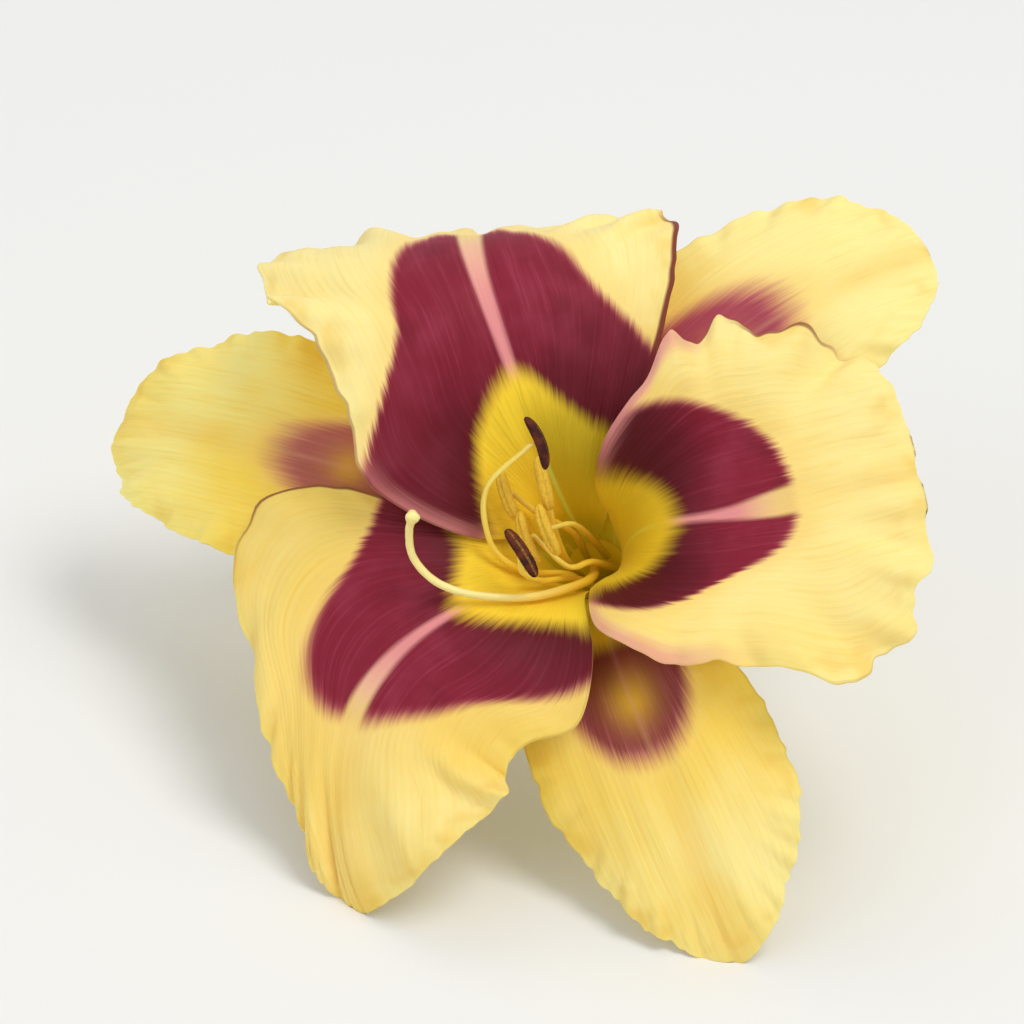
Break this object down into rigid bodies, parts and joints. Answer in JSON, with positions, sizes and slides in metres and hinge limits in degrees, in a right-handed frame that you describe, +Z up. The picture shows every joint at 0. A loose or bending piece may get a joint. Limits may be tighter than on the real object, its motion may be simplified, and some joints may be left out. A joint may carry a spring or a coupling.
{
  "type": "daylily flower",
  "caption": "Open daylily bloom with ruffled pale yellow petals, burgundy eyes and a gold throat, on its tube and a short cut stalk, lying on a surface.",
  "frame": {"origin": "centre of the bounding box's underside, on the surface that the bloom lies on", "axes": "+Z up from the surface, -Y the way that the flower's face is turned (it looks up and forwards), +X to the right as seen from the side of the face"},
  "size_m": [0.1134, 0.084, 0.0703],
  "materials": {
    "petal": "soft satin petal flesh, pale yellow with a burgundy eye, pink midrib and gold throat",
    "sepal": "soft satin sepal flesh, yellow with a small rosy eye patch",
    "tube": "smooth waxy yellow green",
    "stalk": "smooth green with fine lengthwise lines",
    "pistil": "smooth pale cream",
    "filament": "smooth gold, pinker near the tip",
    "anther": "dusty maroon brown with a pollen seam"
  },
  "bodies": {
    "root": {"petal_top": "petal", "petal_right": "petal", "petal_foot": "petal", "sepal_left": "sepal", "sepal_top": "sepal", "sepal_foot": "sepal", "perianth_tube": "tube", "flower_stalk": "stalk", "pistil": "pistil", "filament_1": "filament", "filament_2": "filament", "filament_3": "filament", "filament_4": "filament", "filament_5": "filament", "filament_6": "filament", "anther_1": "anther", "anther_2": "anther", "anther_3": "anther", "anther_4": "anther", "anther_5": "anther", "anther_6": "anther"}
  },
  "joints": []
}
